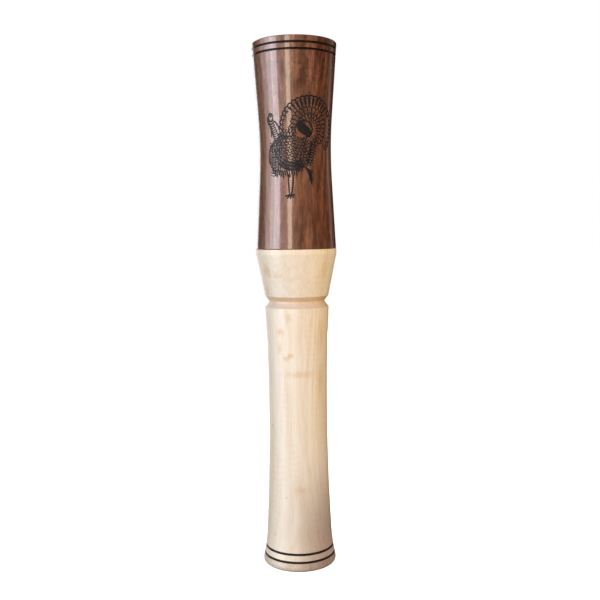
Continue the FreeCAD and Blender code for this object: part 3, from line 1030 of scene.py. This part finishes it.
    def skirt(self) -> list[Stroke]:
        """The ragged feathers under the body and the tuft behind the leg.

        Returns:
            Its strokes.
        """
        drawn = []
        for n in range(13):
            side = -9.6 + n * 0.86
            top = 11.2 + 0.03 * (n - 5) ** 2
            low = (side + 0.7, 9.1 - 0.55 * (n % 3) + 0.03 * (n - 6) ** 2)
            drawn.append(Stroke(along_bow((side, top), low, 0.35), Pen.BOLD if n % 2 else Pen.MEDIUM))
            drawn.append(Stroke(along_bow((side + 0.8, top), low, -0.25), Pen.FINE))
        for n in range(7):
            top = (3.9 + 0.5 * n, 12.4 - 0.2 * n)
            low = (6.0 + 0.16 * n, 5.6 + 0.5 * abs(n - 3))
            drawn.append(Stroke(along_bow(top, low, 0.4 - 0.12 * n), Pen.MEDIUM))
        return drawn

    def leg(self) -> list[Stroke]:
        """One scaled leg with its toes spread.

        Returns:
            Its strokes.
        """
        ankle = (-1.8, 2.1)
        drawn = [
            Stroke(along_bow((-2.6, 9.6), (ankle[0] - 0.4, ankle[1]), -0.1), Pen.BOLD),
            Stroke(along_bow((-0.8, 9.6), (ankle[0] + 0.4, ankle[1]), 0.2), Pen.BOLD),
        ]
        for turn, reach in ((200, 2.3), (230, 2.3), (266, 2.0), (305, 2.1), (338, 1.9)):
            drawn.append(Stroke(along_bow(ankle, self.out(ankle, turn, reach), 0.2, 6), Pen.BOLD))
        for n in range(6):
            level = 7.4 - n * 0.9
            drawn.append(Stroke([(-2.1, level), (-1.2, level - 0.25)], Pen.FINE))
        return drawn

    def carve(self) -> bpy.types.Object:
        """Makes the piece: strokes with thin ends, made a mesh and wrapped round the barrel.

        Returns:
            The piece.
        """
        bpy.ops.curve.primitive_bezier_curve_add()
        piece = bpy.context.object
        piece.name = "engraving"
        drawing = piece.data
        drawing.splines.clear()
        drawing.bevel_depth = 1.0
        drawing.bevel_resolution = 1
        drawing.use_fill_caps = True
        for stroke in self.strokes():
            line = drawing.splines.new("POLY")
            line.points.add(len(stroke.points) - 1)
            last = len(stroke.points) - 1
            for n, (side, level) in enumerate(stroke.points):
                line.points[n].co = (side, level, 0, 1)
                line.points[n].radius = stroke.pen.value / 2 * (0.6 if n in (0, last) else 1.0)
        bpy.ops.object.convert(target="MESH")
        self.wrap(piece)
        bpy.ops.object.shade_smooth()
        piece.data.materials.append(BurnedMark().make())
        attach(piece, "barrel")
        return piece

    def wrap(self, piece: bpy.types.Object) -> None:
        """Moves each point of the flat mesh to its place on the barrel's surface.

        Args:
            piece: the drawing's mesh, flat and in millimetres.
        """
        foot = height_of("barrel", 1) - self.foot_drop
        for vertex in piece.data.vertices:
            side, level, out = vertex.co
            angle = side / self.wrap_radius
            height = (foot + level) * MM
            outward = Vector((math.sin(angle), -math.cos(angle), 0))
            far = outward * OUTSIDE + Vector((0, 0, height))
            hit, place, *_ = self.barrel.ray_cast(far, -outward)
            if not hit:
                raise RuntimeError(f"the drawing leaves the barrel at {height:.4f} m")
            vertex.co = place + outward * (out * self.proud * MM)


@dataclass
class Reed:
    """The flat film reed: clipped at its free corners and cut across in even rows."""

    clip: float = 1.8
    edge: float = 0.06
    spans: int = 40
    clamp: float = 12.5
    bend: float = 14.0

    def cut(self) -> bpy.types.Object:
        """Makes the reed, cut across in even rows from its tail to its free end.

        Returns:
            The piece.
        """
        low, high = (Vector(corner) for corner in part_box("reed"))
        bpy.ops.mesh.primitive_cube_add(size=1, location=(low + high) / 2, scale=high - low)
        piece = bpy.context.object
        piece.name = "reed_film"
        bpy.ops.object.transform_apply(location=True, rotation=False, scale=True)
        self.clip_corners(piece, high.z)
        self.divide(piece, low.z, high.z)
        self.soften(piece)
        piece.data.materials.append(ReedFilm().make())
        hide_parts("reed")
        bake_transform(piece)
        return piece

    def clip_corners(self, piece: bpy.types.Object, top: float) -> None:
        """Cuts the two corners off the free end.

        Args:
            piece: the plain strip.
            top: the level of its free end.
        """
        bpy.ops.object.mode_set(mode="EDIT")
        bpy.ops.mesh.select_all(action="DESELECT")
        bpy.ops.object.mode_set(mode="OBJECT")
        places = [vertex.co for vertex in piece.data.vertices]
        for line in piece.data.edges:
            first, last = (places[n] for n in line.vertices)
            line.select = min(first.z, last.z) > top - NEAR and abs(first.x - last.x) < NEAR
        bpy.ops.object.mode_set(mode="EDIT")
        bpy.ops.mesh.select_mode(type="EDGE")
        bpy.ops.mesh.bevel(offset=self.clip * MM, offset_type="OFFSET", segments=1)
        bpy.ops.object.mode_set(mode="OBJECT")

    def divide(self, piece: bpy.types.Object, bottom: float, top: float) -> None:
        """Cuts the reed across at even heights, so that it can bend.

        Args:
            piece: the reed.
            bottom: the level of its tail.
            top: the level of its free end.
        """
        bpy.ops.object.mode_set(mode="EDIT")
        for n in range(1, self.spans):
            level = bottom + (top - bottom) * n / self.spans
            bpy.ops.mesh.select_all(action="SELECT")
            bpy.ops.mesh.bisect(plane_co=(0, 0, level), plane_no=(0, 0, 1))
        bpy.ops.object.mode_set(mode="OBJECT")

    def soften(self, piece: bpy.types.Object) -> None:
        """Takes the sharpness off the cut edges.

        Args:
            piece: the reed.
        """
        bevel = piece.modifiers.new("edge", "BEVEL")
        bevel.width = self.edge * MM
        bevel.segments = 2
        bevel.limit_method = "ANGLE"
        bpy.ops.object.modifier_apply(modifier=bevel.name)
        bpy.ops.object.shade_smooth_by_angle(angle=math.radians(35))


@dataclass(frozen=True)
class Panel:
    """A soft panel of light that stands round the call and faces it.

    Its turn is in degrees from the front towards +X. Its distance from the axis, its level, its width and its
    height are in metres, and its power is in watts.
    """

    name: str
    turn: float
    away: float
    level: float
    size: Point
    power: float
    colour: Colour


LAMPS = (
    Panel("key", -38, 0.75, 0.26, (0.40, 0.40), 3.4, (0.86, 0.94, 1.0)),
    Panel("warm", 40, 0.38, 0.26, (0.16, 0.16), 1.30, (1.0, 0.82, 0.64)),
    Panel("left", -98, 0.75, 0.12, (0.40, 0.40), 1.5, (1.0, 0.92, 0.80)),
    Panel("behind", 180, 0.75, 0.26, (0.50, 0.40), 3.6, (1.0, 0.97, 0.93)),
    Panel("under", 170, 0.22, -0.30, (0.20, 0.20), 0.5, (1.0, 0.97, 0.93)),
)

CARDS = (
    Panel("left_bright", -56, 0.55, 0.20, (0.17, 0.80), 2.9, (0.93, 0.92, 1.0)),
    Panel("left_middle", -72, 0.55, 0.20, (0.17, 0.80), 1.9, (0.93, 0.92, 1.0)),
    Panel("left_faint", -91, 0.60, 0.20, (0.20, 0.80), 0.80, (0.96, 0.94, 0.96)),
    Panel("front_strip", -17.0, 0.60, 0.20, (0.13, 0.80), 2.3, (1.0, 0.84, 0.69)),
    Panel("right_strip", 124, 0.55, 0.20, (0.12, 0.80), 0.12, (1.0, 0.95, 0.90)),
    Panel("back_card", 205, 0.60, 0.25, (0.25, 0.80), 1.2, (0.97, 0.97, 1.0)),
)


@dataclass
class Studio:
    """The floor, the lights and the camera."""

    surround: float = 0.29
    middle: Vector = field(default_factory=lambda: Vector((0, 0, 0.11)))
    floor_size: float = 9.0
    cove_radius: float = 4.0

    distance: float = 0.3316
    height: float = 0.1371
    side: float = 0.00131
    look_down: float = 4.89
    lean: float = -0.69
    lens: float = 48.93

    def aim(self) -> None:
        """Makes the camera."""
        data = bpy.data.cameras.new("camera")
        data.sensor_width = 36
        data.lens = self.lens
        data.clip_start = 0.01
        camera = bpy.data.objects.new("camera", data)
        pitch = Matrix.Rotation(math.radians(90 - self.look_down), 4, "X")
        roll = Matrix.Rotation(math.radians(self.lean), 4, "Z")
        place = Matrix.Translation((self.side, -self.distance, self.height))
        camera.matrix_world = place @ pitch @ roll
        bpy.context.collection.objects.link(camera)
        bpy.context.scene.camera = camera

    def lay_floor(self) -> None:
        """Makes the pale floor and the white cove round it, which only the camera sees."""
        bpy.ops.mesh.primitive_plane_add(size=self.floor_size, location=(0, 0, 0))
        floor = self.paint_stage("floor", (0.90, 0.90, 0.90), 0.80)
        self.clear_from_below(floor.data.materials[0])
        bpy.ops.mesh.primitive_uv_sphere_add(segments=48, ring_count=24, radius=self.cove_radius)
        self.paint_stage("cove", (0, 0, 0), 1.0)

    def clear_from_below(self, material: bpy.types.Material) -> None:
        """Makes the floor clear from underneath, so that the foot's face can be looked at.

        Args:
            material: the floor's.
        """
        tree = material.node_tree
        shader = next(n for n in tree.nodes if n.type == "BSDF_PRINCIPLED")
        output = next(n for n in tree.nodes if n.type == "OUTPUT_MATERIAL")
        back = tree.nodes.new("ShaderNodeNewGeometry").outputs["Backfacing"]
        clear = tree.nodes.new("ShaderNodeBsdfTransparent").outputs["BSDF"]
        either = tree.nodes.new("ShaderNodeMixShader")
        for link, target in zip((back, shader.outputs["BSDF"], clear), either.inputs):
            tree.links.new(link, target)
        tree.links.new(either.outputs["Shader"], output.inputs["Surface"])

    def paint_stage(self, name: str, colour: Colour, glow: float) -> bpy.types.Object:
        """Names and paints the object just added, which is part of the stage.

        Args:
            name: its name.
            colour: its colour.
            glow: how bright it is by itself.

        Returns:
            The object.
        """
        made = bpy.context.object
        made.name = name
        graph = Graph(f"pale_{name}")
        graph.finish(
            base_color=colour,
            roughness=0.9,
            specular_ior_level=0.0,
            emission_color=(1, 1, 1),
            emission_strength=glow,
        )
        made.data.materials.append(graph.material)
        made.visible_diffuse = made.visible_glossy = made.visible_shadow = False
        return made

    def light(self) -> None:
        """Makes the soft surround, the lamps that no gloss shows and the cards that only gloss shows."""
        world = bpy.data.worlds.new("surround")
        bpy.context.scene.world = world
        world.use_nodes = True
        world.cycles_visibility.glossy = False
        background = next(n for n in world.node_tree.nodes if n.type == "BACKGROUND")
        background.inputs["Color"].default_value = (1.0, 0.98, 0.96, 1.0)
        background.inputs["Strength"].default_value = self.surround
        for panel in LAMPS:
            self.place(panel).visible_glossy = False
        for panel in CARDS:
            self.place(panel).visible_diffuse = False

    def place(self, panel: Panel) -> bpy.types.Object:
        """Makes a panel.

        Args:
            panel: what it is and where it stands.

        Returns:
            The light.
        """
        data = bpy.data.lights.new(panel.name, "AREA")
        data.shape = "RECTANGLE"
        data.size, data.size_y = panel.size
        data.energy = panel.power
        data.color = panel.colour
        lamp = bpy.data.objects.new(panel.name, data)
        angle = math.radians(panel.turn)
        stand = Vector((panel.away * math.sin(angle), -panel.away * math.cos(angle), panel.level))
        lamp.location = stand
        lamp.rotation_euler = (self.middle - stand).to_track_quat("-Z", "Y").to_euler()
        bpy.context.collection.objects.link(lamp)
        return lamp


def main() -> None:
    """Builds the call's looks and its studio."""
    logging.basicConfig(level=logging.INFO, format="%(name)s: %(message)s")
    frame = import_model()
    for piece in TurnedPieces(frame).dress():
        LOG.info("dressed %s", piece.name)
    for piece in (Engraving(frame["nodes"]["barrel"]).carve(), Reed().cut()):
        LOG.info("made %s, %d faces", piece.name, len(piece.data.polygons))
    bpy.context.scene.view_settings.view_transform = "Standard"
    studio = Studio()
    studio.aim()
    studio.lay_floor()
    studio.light()


if __name__ == "__main__":
    main()
